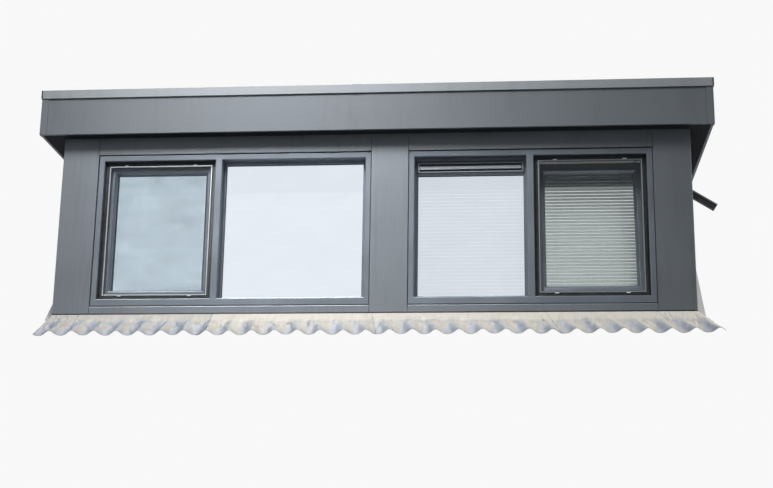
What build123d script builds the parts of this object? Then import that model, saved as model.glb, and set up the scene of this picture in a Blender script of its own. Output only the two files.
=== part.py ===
from build123d import *
import math
import os

# Flat-roofed dormer with two window units, on a pitched roof.
# Millimetres. X runs along the front wall, Y into the roof, Z up.
# The origin is the centre of the sole plate's underside.

# House roof that the dormer stands on
roof_pitch = 46.5
tile_wave = 149.2
tile_wave_height = 27.0
tile_drop = 50.0
tile_build_up = 60.0

# Widths along the front wall
side_panel_width = 249.0
centre_panel_width = 253.0
left_unit_width = 1871.0
right_unit_width = 1616.0
left_sash_width = 767.0
right_sash_width = 743.0

# Heights on the front wall, from the foot of the cladding up
sill_strip_height = 58.0
unit_height = 1054.0
head_strip_height = 125.0
fascia_height = 261.0
trim_height = 59.0

# Timber and boards
stud_depth = 120.0
sole_height = 90.0
cladding = 18.0
lining = 12.0
soffit_board = 12.0
joist_width = 45.0
joist_height = 180.0
joist_spacing = 600.0
deck_height = 82.0
kerb_width = 60.0
membrane = 3.0

# Overhangs and roof edge
front_overhang = 94.0
side_overhang = 149.0
fascia_board = 18.0
corner_profile = 45.0
corner_relief = 4.0
trim_sheet = 3.0
trim_proud = 10.0
trim_splice = 60.0
splice_sheet = 1.5
trim_splice_x = -96.0
rear_upstand = 250.0

# Window frames
frame_depth = 116.0
frame_setback = 8.0
frame_face = 40.0
head_face = 39.0
sill_face = 49.0
mullion = 48.0
stop_width = 34.0
stop_front = 38.0
stop_depth = 17.0
bead_width = 18.0
bead_front = 62.0
edge_round = 3.0

# Sashes and panes
sash_bar = 73.0
sash_depth = 74.0
sash_chamfer = 14.0
pane = 24.0
pane_edge = 12.0
fixed_pane_depth = 80.0
sash_pane_depth = 100.0
sash_tilt = 8.0

# Ventilation grille in the right fixed light
vent_height = 86.0
vent_depth = 52.0
vent_proud = 13.0
vent_rim = 9.0
vent_slot_height = 54.0
vent_slot_top = 20.0
vent_slot_depth = 26.0
vent_blade_height = 26.0
vent_blade_drop = 13.0
vent_blade_lean = 7.0
vent_blade_sheet = 3.0

# Insect screens
screen_margin = 28.0
screen_bar = 12.0
screen_depth = 9.0
screen_mesh = 1.0
screen_mesh_hold = 1.0
clip_width = 26.0
clip_proud = 3.0
clip_height = 7.0
clip_share = 0.165

# Venetian blinds
slat_width = 25.0
slat_sheet = 1.0
slat_pitch = 24.0
slat_turn = 62.0
blind_rail = 26.0
foot_rail_height = 13.0
foot_rail_width = 17.0
ladder_width = 4.0
ladder_depth = 2.0
ladder_share = 0.14

# Lead
lead = 3.0
apron_length = 204.0
apron_knee = 76.0
apron_knee_wave = 5.0
apron_knee_drop = 6.5
apron_left_lap = 80.0
apron_right_lap = 158.0
apron_wave_steps = 8
cheek_lead_width = 70.0
cheek_lead_height = 46.0

# Rain spout
spout_radius = 30.0
spout_wall = 2.5
spout_behind = 822.0
spout_out = 70.0
spout_drop = 150.0
spout_run_x = 201.0
spout_run_z = 129.0
spout_bend = 70.0
spout_flange = 46.0

# Inner fittings
board_depth = 150.0
board_height = 18.0
handle_length = 120.0
handle_width = 16.0
handle_stand = 32.0
rose_width = 32.0
rose_height = 64.0
rose_depth = 8.0
stay_width = 20.0
stay_sheet = 3.0
catch_width = 10.0
catch_depth = 37.0
hinge_length = 45.0

# Clearances
joint = 5.0
panel_joint = 2.0
sash_gap = 3.0
seat = 0.3
overcut = 1.0

# Places along X
wall_width = 2 * side_panel_width + centre_panel_width + left_unit_width + right_unit_width
x_wall = wall_width / 2
x_left_unit = -x_wall + side_panel_width
x_centre_panel = x_left_unit + left_unit_width
x_right_unit = x_centre_panel + centre_panel_width
x_right_panel = x_right_unit + right_unit_width
x_stud = x_wall - cladding
x_room = x_stud - stud_depth - lining
x_roof = x_wall + side_overhang

# Places along Y
y_stud = -stud_depth / 2
y_inside = stud_depth / 2
y_wall = y_stud - cladding
y_frame = y_wall + frame_setback
y_frame_back = y_frame + frame_depth
y_roof = y_wall - front_overhang

# Places along Z
z_foot = sole_height - sill_strip_height
z_unit = sole_height
z_head = z_unit + unit_height
z_soffit = z_head + head_strip_height
z_joist = z_soffit + soffit_board
z_fascia = z_soffit + fascia_height
z_trim = z_fascia + trim_height
z_kerb = z_trim - trim_sheet
z_deck = z_joist + joist_height
z_roof = z_deck + deck_height
z_sill = z_unit + sill_face
z_opening = z_head - head_face

slope = math.tan(math.radians(roof_pitch))
slope_sin = math.sin(math.radians(roof_pitch))
slope_cos = math.cos(math.radians(roof_pitch))


def tile_z(y):
    """Height of the tile troughs at y."""
    return z_foot - tile_drop + (y - y_wall) * slope


def tile_y(z):
    """Where the plane of the tile troughs reaches the height z."""
    return y_wall + (z - z_foot + tile_drop) / slope


def rafter_z(y):
    """Height of the rafters' upper edges at y."""
    return tile_z(y) - tile_build_up / slope_cos


def rafter_y(z):
    """Where the plane of the rafters reaches the height z."""
    return tile_y(z + tile_build_up / slope_cos)


def block(x0, x1, y0, y1, z0, z1):
    """Square-edged piece between two corners."""
    return Pos(x0, y0, z0) * Box(x1 - x0, y1 - y0, z1 - z0, align=(Align.MIN,) * 3)


def side_profile(points, x0, x1):
    """Piece with an outline of (y, z) points, from x0 to x1."""
    outline = make_face(Polyline(*points, close=True))
    return extrude(Plane.YZ.offset(x0) * outline, amount=x1 - x0)


def ring(x0, x1, z0, z1, y0, y1, bar):
    """Rectangular frame whose four bars are equally wide."""
    hole = block(x0 + bar, x1 - bar, y0 - overcut, y1 + overcut, z0 + bar, z1 - bar)
    return block(x0, x1, y0, y1, z0, z1) - hole


def mirrored(piece):
    """The same piece on the other side of the dormer."""
    return piece.mirror(Plane.YZ)


# Openings in the window frames, as their left and right edges
left_sash_x = (x_left_unit + frame_face, x_left_unit + frame_face + left_sash_width)
left_fixed_x = (left_sash_x[1] + mullion, x_centre_panel - frame_face)
right_sash_x = (x_right_panel - frame_face - right_sash_width, x_right_panel - frame_face)
right_fixed_x = (x_right_unit + frame_face, right_sash_x[0] - mullion)

# Front wall timber


def sole_plate():
    return block(-x_stud, x_stud, y_stud, y_inside, 0, sole_height)


def front_lintel():
    return block(-x_stud, x_stud, y_stud, y_inside, z_head, z_joist)


def post(x0, x1):
    return block(x0, x1, y_stud, y_inside, z_unit, z_head)


# Cheeks


def cheek_wall():
    """Triangular insulated wall, from the front wall back to the rafters."""
    points = [
        (y_inside, rafter_z(y_inside)),
        (rafter_y(z_joist), z_joist),
        (y_inside, z_joist),
    ]
    return side_profile(points, x_stud - stud_depth, x_stud)


def cheek_cladding():
    """Outer panel of a cheek, clear of the tiles along its foot."""
    points = [
        (y_stud, tile_z(y_stud) + tile_drop),
        (tile_y(z_soffit - tile_drop), z_soffit),
        (y_stud, z_soffit),
    ]
    return side_profile(points, x_stud, x_wall)


def cheek_lining():
    """Inner board of a cheek, under the ceiling."""
    points = [
        (y_inside, rafter_z(y_inside)),
        (rafter_y(z_soffit), z_soffit),
        (y_inside, z_soffit),
    ]
    return side_profile(points, x_room, x_stud - stud_depth)


def cheek_lead():
    """Lead angle along the foot of a cheek: one leg up the wall, one out over the roof."""
    y0 = y_stud
    y1 = tile_y(z_soffit - cheek_lead_height)
    leg = [
        (y0, tile_z(y0)),
        (y1, tile_z(y1)),
        (y1, tile_z(y1) + cheek_lead_height),
        (y0, tile_z(y0) + cheek_lead_height),
    ]
    sheet = [
        (y0, tile_z(y0) - lead / slope_cos),
        (y1, tile_z(y1) - lead / slope_cos),
        (y1, tile_z(y1)),
        (y0, tile_z(y0)),
    ]
    upright = side_profile(leg, x_stud, x_stud + lead)
    return upright + side_profile(sheet, x_stud, x_stud + cheek_lead_width)


# Front cladding


def front_panel(x0, x1):
    return block(x0, x1, y_wall, y_stud, z_foot, z_soffit)


def head_strip(x0, x1):
    """Strip over a window unit."""
    return block(x0, x1, y_wall, y_stud, z_head + joint, z_soffit)


def sill_strip(x0, x1):
    """Strip under a window unit, with a weathered top edge."""
    strip = block(x0, x1, y_wall, y_stud, z_foot, z_unit - joint)
    top_edge = strip.edges().filter_by(Axis.X).sort_by(Axis.Z)[-2:].sort_by(Axis.Y)[0]
    return chamfer(top_edge, edge_round)


# Window units


def stop_lip(x_pair):
    """Lip that runs round a sash opening and stops the sash from outside."""
    y0 = y_frame + stop_front
    return ring(x_pair[0], x_pair[1], z_sill, z_opening, y0, y0 + stop_depth, stop_width)


def fixed_beads(x_pair):
    """Beads round a fixed pane, grooved for its edge."""
    y0 = y_frame + bead_front
    beads = ring(x_pair[0], x_pair[1], z_sill, z_opening, y0, y_frame_back, bead_width)
    y1 = y_frame + fixed_pane_depth
    edge = bead_width - pane_edge - seat
    groove = block(
        x_pair[0] + edge, x_pair[1] - edge, y1 - seat, y1 + pane + seat,
        z_sill + edge, z_opening - edge,
    )
    return beads - groove


def window_frame(x0, x1, sash_x, fixed_x):
    """Outer frame with its mullion, the stop of the sash and the beads of the fixed pane."""
    frame = block(x0, x1, y_frame, y_frame_back, z_unit, z_head)
    for left, right in (sash_x, fixed_x):
        frame -= block(
            left, right, y_frame - overcut, y_frame_back + overcut, z_sill, z_opening
        )
    front = frame.faces().sort_by(Axis.Y)[0]
    frame = chamfer(front.edges(), edge_round)
    return frame + stop_lip(sash_x) + fixed_beads(fixed_x)


def sash(x_pair):
    """Inward sash: a deep ring with a sloped inner edge and a groove for its pane."""
    y0 = y_frame + stop_front + stop_depth + seat
    x0 = x_pair[0] + sash_gap
    x1 = x_pair[1] - sash_gap
    z0 = z_sill + sash_gap
    z1 = z_opening - sash_gap
    bar = sash_bar - sash_gap
    body = ring(x0, x1, z0, z1, y0, y0 + sash_depth, bar)
    front = body.faces().sort_by(Axis.Y)[0]
    body = chamfer(front.inner_wires()[0].edges(), sash_chamfer)
    y1 = y_frame + sash_pane_depth
    edge = bar - pane_edge - seat
    groove = block(x0 + edge, x1 - edge, y1 - seat, y1 + pane + seat, z0 + edge, z1 - edge)
    return body - groove


def glass(x_pair, bar, depth, top=0.0):
    """Double glazing whose edge lies in a groove behind bars of the given width."""
    edge = bar - pane_edge
    y0 = y_frame + depth
    return block(
        x_pair[0] + edge, x_pair[1] - edge, y0, y0 + pane, z_sill + edge, z_opening - edge - top
    )


def tilted(piece):
    """Turns a piece of the right sash inwards about the sash's lower back edge."""
    hinge_line = Axis((0, sash_back, z_sill + sash_gap), (1, 0, 0))
    return piece.rotate(hinge_line, -sash_tilt)


sash_back = y_frame + stop_front + stop_depth + seat + sash_depth


def trickle_vent():
    """Grille over the right fixed pane: a box with a wide slot and one leaning blade in it."""
    x0 = right_fixed_x[0] + bead_width + seat
    x1 = right_fixed_x[1] - bead_width - seat
    z1 = z_opening - bead_width - seat
    z0 = z1 - vent_height
    y0 = y_frame + bead_front - vent_proud
    body = block(x0, x1, y0, y0 + vent_depth, z0, z1)
    slot_z = z1 - vent_slot_top
    slot = block(
        x0 + vent_rim, x1 - vent_rim, y0 - overcut, y0 + vent_slot_depth,
        slot_z - vent_slot_height, slot_z,
    )
    blade_top = slot_z - vent_blade_drop
    blade_foot = blade_top - vent_blade_height
    blade = [
        (y0, blade_foot),
        (y0 + vent_blade_sheet, blade_foot),
        (y0 + vent_blade_lean + vent_blade_sheet, blade_top),
        (y0 + vent_blade_lean, blade_top),
    ]
    return body - slot + side_profile(blade, x0 + vent_rim, x1 - vent_rim)


def insect_screen(x_pair):
    """Thin screen frame with its mesh, and two clips above and two below."""
    x0 = x_pair[0] + screen_margin
    x1 = x_pair[1] - screen_margin
    z0 = z_sill + screen_margin
    z1 = z_opening - screen_margin
    y1 = y_frame + stop_front
    y0 = y1 - screen_depth
    screen = ring(x0, x1, z0, z1, y0, y1, screen_bar)
    y_mesh = y1 - screen_depth / 2
    bar = screen_bar - screen_mesh_hold
    screen += block(x0 + bar, x1 - bar, y_mesh, y_mesh + screen_mesh, z0 + bar, z1 - bar)
    for share in (clip_share, 1 - clip_share):
        x_clip = x0 + (x1 - x0) * share
        for z_clip in (z0 - clip_height, z1):
            screen += block(
                x_clip - clip_width / 2, x_clip + clip_width / 2,
                y0 - clip_proud, y1, z_clip, z_clip + clip_height,
            )
    return screen


def blind(x0, x1, y_back, z0, z1):
    """Venetian blind: head rail, turned slats on two ladder cords, bottom rail."""
    y_mid = y_back + slat_width / 2
    pieces = [
        block(x0, x1, y_back, y_back + slat_width, z1 - blind_rail, z1),
        block(
            x0, x1, y_mid - foot_rail_width / 2, y_mid + foot_rail_width / 2, z0, z0 + foot_rail_height
        ),
    ]
    count = int((z1 - z0 - blind_rail - foot_rail_height - slat_width / 2) / slat_pitch)
    slat = Rot(slat_turn, 0, 0) * Box(x1 - x0 - 2 * seat, slat_width, slat_sheet)
    for index in range(count):
        z_slat = z1 - blind_rail - slat_width / 2 - index * slat_pitch
        pieces.append(Pos((x0 + x1) / 2, y_mid, z_slat) * slat)
    for share in (ladder_share, 1 - ladder_share):
        x_cord = x0 + (x1 - x0) * share
        pieces.append(
            block(
                x_cord - ladder_width / 2, x_cord + ladder_width / 2,
                y_mid - ladder_depth / 2, y_mid + ladder_depth / 2,
                z0 + foot_rail_height / 2, z1 - blind_rail / 2,
            )
        )
    return pieces[0].fuse(*pieces[1:])


def fixed_blind():
    x0, x1 = right_fixed_x
    return blind(x0 + joint, x1 - joint, y_frame_back + seat, z_unit + board_height + joint, z_head - seat)


def sash_blind():
    """Blind on the back of the tilted sash."""
    x0 = right_sash_x[0] + sash_bar - pane_edge
    x1 = right_sash_x[1] - sash_bar + pane_edge
    z0 = z_sill + sash_bar - pane_edge
    z1 = z_opening - sash_bar + blind_rail
    return tilted(blind(x0, x1, sash_back + seat, z0, z1))


def handle(x, z):
    """Lever handle on the back of a sash."""
    rose = block(
        x - rose_width / 2, x + rose_width / 2, sash_back, sash_back + rose_depth,
        z - rose_height / 2, z + rose_height / 2,
    )
    neck = block(
        x - handle_width / 2, x + handle_width / 2, sash_back, sash_back + handle_stand,
        z - handle_width / 2, z + handle_width / 2,
    )
    lever = block(
        x - handle_width / 2, x + handle_width / 2, sash_back + handle_stand - handle_width,
        sash_back + handle_stand, z - handle_length, z + handle_width / 2,
    )
    return rose + neck + lever


def window_fittings():
    """Handles of both sashes, and the stay and the two hinges of the tilted one."""
    z_handle = (z_sill + z_opening) / 2
    left = handle(left_sash_x[1] - sash_bar / 2, z_handle)
    right = tilted(handle(right_sash_x[0] + sash_bar / 2, z_handle))
    x_stay = right_sash_x[1] - sash_bar
    z_stay = z_opening + stay_sheet / 2
    reach = unit_height * math.sin(math.radians(sash_tilt))
    plate = block(
        x_stay, x_stay + stay_width, y_frame_back, y_frame_back + stay_sheet,
        z_stay, z_stay + stay_width,
    )
    arm = block(
        x_stay, x_stay + stay_width, y_frame_back, y_frame_back + reach, z_stay, z_stay + stay_sheet
    )
    catch = tilted(
        block(
            x_stay, x_stay + stay_width, sash_back - catch_depth, sash_back - catch_depth + catch_width,
            z_opening - sash_gap, z_opening - sash_gap + 2 * stay_sheet,
        )
    )
    return [left, right, plate + arm, catch] + hinges()


def hinges():
    """Wedges that carry the tilted sash on the bottom rail of the frame."""
    wedge_slope = math.tan(math.radians(sash_tilt))
    y1 = y_frame_back
    y0 = y1 - stay_width
    z_pivot = z_sill + sash_gap
    points = [
        (y0, z_sill),
        (y1, z_sill),
        (y1, z_pivot + (sash_back - y1) * wedge_slope - seat),
        (y0, z_pivot + (sash_back - y0) * wedge_slope - seat),
    ]
    starts = (right_sash_x[0] + sash_gap, right_sash_x[1] - sash_gap - hinge_length)
    return [side_profile(points, start, start + hinge_length) for start in starts]


# Roof


def joist(x0, bottom, top):
    """One joist from the header back to the given end points of its lower and upper edges."""
    y0 = y_roof + fascia_board + joist_width + seat
    points = [(y0, z_joist), (bottom, z_joist), (top, z_deck), (y0, z_deck)]
    return side_profile(points, x0, x0 + joist_width)


def roof_joists():
    """Joists down to the rafters, a header behind the fascia, and rim joists in the overhangs."""
    y0 = y_roof + fascia_board
    x_rim = x_roof - fascia_board
    header = block(-x_rim, x_rim, y0, y0 + joist_width, z_joist, z_deck)
    rim = joist(x_rim - joist_width, tile_y(z_joist), tile_y(z_deck))
    count = int((2 * x_stud - joist_width) / joist_spacing) + 2
    pitch = (2 * x_stud - joist_width) / (count - 1)
    row = [
        joist(-x_stud + index * pitch, rafter_y(z_joist), rafter_y(z_deck)) for index in range(count)
    ]
    return [header, rim, mirrored(rim)] + row


def roof_deck():
    """Insulated deck with a raised kerb along the front and both sides."""
    y0 = y_roof + fascia_board
    x1 = x_roof - fascia_board
    deck = side_profile(
        [(y0, z_deck), (tile_y(z_deck), z_deck), (tile_y(z_roof), z_roof), (y0, z_roof)], -x1, x1
    )
    kerb_end = [
        (y0, z_roof),
        (tile_y(z_roof), z_roof),
        (tile_y(z_kerb), z_kerb),
        (y0, z_kerb),
    ]
    deck += side_profile(kerb_end, -x1, -x1 + kerb_width)
    deck += side_profile(kerb_end, x1 - kerb_width, x1)
    return deck + block(-x1, x1, y0, y0 + kerb_width, z_roof, z_kerb)


def roof_membrane():
    """Sheet over the deck, turned up against the kerbs at the front and both sides."""
    y0 = y_roof + fascia_board + kerb_width
    x1 = x_roof - fascia_board - kerb_width
    y_turn = y0 + membrane
    z_sheet = z_roof + membrane
    sheet = side_profile(
        [(y0, z_roof), (tile_y(z_roof), z_roof), (tile_y(z_sheet), z_sheet), (y0, z_sheet)], -x1, x1
    )
    upstand = [
        (y0, z_sheet),
        (tile_y(z_sheet), z_sheet),
        (tile_y(z_kerb), z_kerb),
        (y0, z_kerb),
    ]
    sheet += side_profile(upstand, x1 - membrane, x1)
    sheet += side_profile(upstand, -x1, membrane - x1)
    return sheet + block(-x1, x1, y0, y_turn, z_sheet, z_kerb)


def rear_flashing():
    """Sheet from the back of the flat roof up the slope, under the tiles."""
    y0 = tile_y(z_roof)
    y1 = y0 + rear_upstand * slope_cos
    drop = membrane / slope_cos
    points = [
        (y0, z_roof - drop),
        (y1, tile_z(y1) - drop),
        (y1, tile_z(y1)),
        (y0, z_roof),
    ]
    return side_profile(points, -x_roof, x_roof)


def front_fascia():
    """Deep front board with a proud corner profile at either end."""
    board = block(-x_roof, x_roof, y_roof, y_roof + fascia_board, z_soffit, z_kerb)
    angle = block(
        x_roof - corner_profile, x_roof + corner_relief,
        y_roof - corner_relief, y_roof, z_soffit, z_fascia,
    )
    angle += block(
        x_roof, x_roof + corner_relief, y_roof - corner_relief, y_roof + corner_profile,
        z_soffit, z_fascia,
    )
    return board + angle + mirrored(angle)


def side_fascia():
    """Side board, cut to the slope of the tiles."""
    y0 = y_roof + fascia_board
    points = [
        (y0, z_soffit),
        (tile_y(z_soffit), z_soffit),
        (tile_y(z_kerb), z_kerb),
        (y0, z_kerb),
    ]
    return side_profile(points, x_roof - fascia_board, x_roof)


def soffit():
    """Three boards under the overhangs."""
    y0 = y_roof + fascia_board
    x1 = x_roof - fascia_board
    front = block(-x1, x1, y0, y_stud, z_soffit, z_joist)
    points = [
        (y_stud + seat, z_soffit),
        (tile_y(z_soffit), z_soffit),
        (tile_y(z_joist), z_joist),
        (y_stud + seat, z_joist),
    ]
    side = side_profile(points, x_stud, x1)
    return [front, side, mirrored(side)]


def roof_trim():
    """Roof-edge profile: the front length with its splice sleeve, and a length on each side."""
    inner = fascia_board + kerb_width
    section = [
        (0, z_fascia),
        (trim_proud, z_fascia),
        (trim_proud, z_trim),
        (-inner, z_trim),
        (-inner, z_kerb),
        (trim_proud - trim_sheet, z_kerb),
        (trim_proud - trim_sheet, z_fascia + trim_sheet),
        (0, z_fascia + trim_sheet),
    ]
    front = side_profile([(y_roof - out, up) for out, up in section], -x_roof, x_roof)
    x0 = trim_splice_x - trim_splice / 2
    y0 = y_roof - trim_proud - splice_sheet
    sleeve = block(x0, x0 + trim_splice, y0, y_roof - trim_proud, z_fascia, z_trim)
    sleeve += block(x0, x0 + trim_splice, y0, y_roof + inner, z_trim, z_trim + splice_sheet)
    outline = make_face(Polyline(*[(x_roof + out, up) for out, up in section], close=True))
    length = tile_y(z_trim) - y_roof + trim_proud
    side = extrude(Plane.XZ.offset(trim_proud - y_roof) * outline, amount=-length)
    side -= block(
        x_roof - inner - overcut, x_roof, y_roof - trim_proud - overcut, y_roof + inner + seat,
        z_fascia, z_trim + overcut,
    )
    below_tiles = [
        (tile_y(z_fascia - trim_height), z_fascia - trim_height),
        (tile_y(z_trim + trim_height), z_trim + trim_height),
        (tile_y(z_trim + trim_height), z_fascia - trim_height),
    ]
    side -= side_profile(below_tiles, x_roof - inner - overcut, x_roof + trim_proud + overcut)
    return [front + sleeve, side, mirrored(side)]


# Inside


def ceiling_lining():
    points = [
        (y_inside, z_soffit),
        (rafter_y(z_soffit), z_soffit),
        (rafter_y(z_joist), z_joist),
        (y_inside, z_joist),
    ]
    return side_profile(points, -x_stud + stud_depth, x_stud - stud_depth)


def window_board():
    """Board behind the window units, notched round the posts."""
    board = block(-x_room, x_room, y_frame_back, y_frame_back + board_depth, z_unit, z_unit + board_height)
    front_row = ((-x_stud, x_left_unit), (x_centre_panel, x_right_unit), (x_right_panel, x_stud))
    for x0, x1 in front_row:
        board -= block(x0, x1, y_stud, y_inside, z_unit, z_unit + board_height)
    return board


# Lead apron


def apron_point(x, down, up):
    """Point on the apron: down the slope from the foot of the wall, and up from its plane."""
    y = y_wall - down * slope_cos - up * slope_sin
    z = z_foot - down * slope_sin + up * slope_cos
    return (x, y, z)


def apron_row(down, up, height):
    """Points along one edge of the sheet: a wave for each tile, trough first, fanning out down the slope."""
    count = round((wall_width + apron_left_lap + apron_right_lap) / tile_wave)
    share = down / apron_length
    x_start = -x_wall - share * apron_left_lap
    x_end = x_wall + share * apron_right_lap
    steps = count * apron_wave_steps
    points = []
    for index in range(steps + 1):
        turn = 2 * math.pi * index / apron_wave_steps
        wave = -height / 2 * math.sin(turn)
        points.append(apron_point(x_start + (x_end - x_start) * index / steps, down, up + wave))
    return points


def apron_outline(down, up, height):
    """Closed outline of the sheet at a distance down the slope, with waves of the given height."""
    over = apron_row(down, up, height)
    under = apron_row(down, up - lead, height)
    return Wire(Polyline(*over, *reversed(under), close=True).edges())


def lead_apron():
    """Lead sheet from the foot of the wall down over the tiles, pressed into their waves."""
    tile_plane = (tile_wave_height - tile_drop) * slope_cos
    upper = apron_outline(0, 0, 0)
    knee = apron_outline(apron_knee, -apron_knee_drop, apron_knee_wave)
    foot = apron_outline(apron_length, tile_plane, tile_wave_height)
    sheet = Solid.make_loft([upper, knee, foot], ruled=True)
    neck = block(-x_wall, x_wall, y_wall - lead / 2, y_stud, z_foot - lead, z_foot)
    upstand = block(-x_stud, x_stud, y_stud - lead, y_stud, 0, z_foot)
    return Part() + sheet + neck + upstand


# Rain spout


def rain_spout():
    """Pipe from the side overhang down and out, with a flange under the soffit."""
    x0 = x_wall + spout_out
    turn = math.atan2(spout_run_x, spout_run_z)
    tangent = spout_bend * math.tan(turn / 2)
    upper_length = spout_drop - tangent
    lower_length = math.hypot(spout_run_x, spout_run_z) - tangent
    section = Circle(spout_radius) - Circle(spout_radius - spout_wall)
    start = Plane(origin=(x0, spout_behind, z_soffit), z_dir=(0, 0, -1))
    bend_start = start.offset(upper_length)
    bend_axis = Axis((x0 + spout_bend, spout_behind, z_soffit - upper_length), (0, -1, 0))
    bend_end = Plane(
        origin=(
            x0 + spout_bend * (1 - math.cos(turn)), spout_behind,
            z_soffit - upper_length - spout_bend * math.sin(turn),
        ),
        z_dir=(math.sin(turn), 0, -math.cos(turn)),
    )
    pipe = extrude(start * section, amount=upper_length)
    pipe += revolve(bend_start * section, axis=bend_axis, revolution_arc=math.degrees(turn))
    pipe += extrude(bend_end * section, amount=lower_length)
    flange = Pos(x0, spout_behind, z_soffit - spout_wall / 2) * (
        Cylinder(spout_flange, spout_wall) - Cylinder(spout_radius - spout_wall, 2 * spout_wall)
    )
    return pipe + flange


parts = {
    "sole_plate": sole_plate(),
    "front_lintel": front_lintel(),
    "left_post": post(-x_stud, x_left_unit),
    "centre_post": post(x_centre_panel, x_right_unit),
    "right_post": post(x_right_panel, x_stud),
    "left_cheek_wall": mirrored(cheek_wall()),
    "right_cheek_wall": cheek_wall(),
    "left_cheek_cladding": mirrored(cheek_cladding()),
    "right_cheek_cladding": cheek_cladding(),
    "left_post_cladding": front_panel(-x_wall, x_left_unit - panel_joint),
    "centre_post_cladding": front_panel(x_centre_panel + panel_joint, x_right_unit - panel_joint),
    "right_post_cladding": front_panel(x_right_panel + panel_joint, x_wall),
    "left_head_strip": head_strip(x_left_unit, x_centre_panel),
    "right_head_strip": head_strip(x_right_unit, x_right_panel),
    "left_sill_strip": sill_strip(x_left_unit, x_centre_panel),
    "right_sill_strip": sill_strip(x_right_unit, x_right_panel),
    "left_window_frame": window_frame(x_left_unit, x_centre_panel, left_sash_x, left_fixed_x),
    "right_window_frame": window_frame(x_right_unit, x_right_panel, right_sash_x, right_fixed_x),
    "left_sash": sash(left_sash_x),
    "right_sash": tilted(sash(right_sash_x)),
    "left_sash_glass": glass(left_sash_x, sash_bar, sash_pane_depth),
    "left_fixed_glass": glass(left_fixed_x, bead_width, fixed_pane_depth),
    "right_fixed_glass": glass(
        right_fixed_x, bead_width, fixed_pane_depth, vent_height + pane_edge + 2 * seat
    ),
    "right_sash_glass": tilted(glass(right_sash_x, sash_bar, sash_pane_depth)),
    "trickle_vent": trickle_vent(),
    "left_insect_screen": insect_screen(left_sash_x),
    "right_insect_screen": insect_screen(right_sash_x),
    "right_fixed_blind": fixed_blind(),
    "right_sash_blind": sash_blind(),
    "window_fittings": window_fittings(),
    "roof_joists": roof_joists(),
    "roof_deck": roof_deck(),
    "roof_membrane": roof_membrane(),
    "rear_flashing": rear_flashing(),
    "front_fascia": front_fascia(),
    "left_fascia": mirrored(side_fascia()),
    "right_fascia": side_fascia(),
    "soffit": soffit(),
    "roof_trim": roof_trim(),
    "lead_apron": lead_apron(),
    "cheek_lead": [mirrored(cheek_lead()), cheek_lead()],
    "rain_spout": rain_spout(),
    "ceiling_lining": ceiling_lining(),
    "cheek_linings": [mirrored(cheek_lining()), cheek_lining()],
    "window_board": window_board(),
}

os.makedirs("parts", exist_ok=True)
for name, piece in parts.items():
    if isinstance(piece, list):
        piece = Compound([solid for item in piece for solid in item.solids()])
    export_step(piece, f"parts/{name}.step")
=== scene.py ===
import math

import bpy
import numpy as np
from bpy.props import FloatProperty, FloatVectorProperty, PointerProperty
from bpy.types import Operator, Panel, PropertyGroup
from mathutils import Matrix, Vector


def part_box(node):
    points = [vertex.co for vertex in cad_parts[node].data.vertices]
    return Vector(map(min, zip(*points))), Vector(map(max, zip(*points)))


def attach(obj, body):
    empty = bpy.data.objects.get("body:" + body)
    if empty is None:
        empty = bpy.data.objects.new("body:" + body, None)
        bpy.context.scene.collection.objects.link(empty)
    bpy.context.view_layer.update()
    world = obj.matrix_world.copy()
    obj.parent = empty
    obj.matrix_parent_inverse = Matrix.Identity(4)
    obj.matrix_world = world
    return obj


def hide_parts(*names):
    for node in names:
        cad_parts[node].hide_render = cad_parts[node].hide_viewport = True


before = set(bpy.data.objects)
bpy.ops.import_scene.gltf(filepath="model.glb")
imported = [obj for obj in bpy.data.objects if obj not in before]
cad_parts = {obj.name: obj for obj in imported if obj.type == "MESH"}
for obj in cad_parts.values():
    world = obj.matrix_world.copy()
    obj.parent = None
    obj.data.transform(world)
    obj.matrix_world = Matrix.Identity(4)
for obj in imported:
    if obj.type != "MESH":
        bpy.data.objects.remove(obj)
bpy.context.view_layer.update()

bl_info = {
    "name": "Dormer window",
    "version": (1, 0, 0),
    "blender": (4, 5, 0),
    "location": "View3D > Sidebar > Dormer",
    "description": "Finishes and fine pieces of a flat-roofed dormer window",
    "category": "Object",
}

MM = 0.001

# Lines that the pieces share, in metres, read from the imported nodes
wall_low, wall_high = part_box("centre_post_cladding")
left_wall_low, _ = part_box("left_post_cladding")
_, right_wall_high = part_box("right_post_cladding")
LEFT_WALL, RIGHT_WALL = left_wall_low[0], right_wall_high[0]
WALL_FRONT, WALL_FOOT, WALL_TOP = wall_low[1], wall_low[2], wall_high[2]
SLOPE = math.radians(46.5)
# Sill and head of the openings, and the back and the tilt of the right sash
SILL, OPENING_TOP = 0.139, 1.105
SASH_BACK, SASH_TILT = 0.0593, math.radians(8)
# How far a pane stands inside its opening, in a sash and between the beads of a fixed light
SASH_EDGE, BEAD_EDGE = 61 * MM, 6 * MM


def opening(pane, edge):
    """Left and right edge of an opening, from the pane that stands the given distance inside it."""
    low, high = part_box(pane)
    return low[0] - edge, high[0] + edge


LEFT_SASH_X, LEFT_FIXED_X = opening("left_sash_glass", SASH_EDGE), opening("left_fixed_glass", BEAD_EDGE)
RIGHT_FIXED_X, RIGHT_SASH_X = opening("right_fixed_glass", BEAD_EDGE), opening("right_sash_glass", SASH_EDGE)


def linear(hex_colour):
    """sRGB hex to linear RGBA: each channel c becomes ((c + 0.055) / 1.055) ^ 2.4 above 0.04045."""
    digits = hex_colour.lstrip("#")
    channels = [int(digits[i : i + 2], 16) / 255 for i in (0, 2, 4)]
    return tuple(c / 12.92 if c <= 0.04045 else ((c + 0.055) / 1.055) ** 2.4 for c in channels) + (1.0,)


def colour_property(name, description, hex_colour):
    return FloatVectorProperty(
        name=name, description=description, subtype="COLOR", size=4, min=0, max=1, default=linear(hex_colour)
    )


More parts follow.
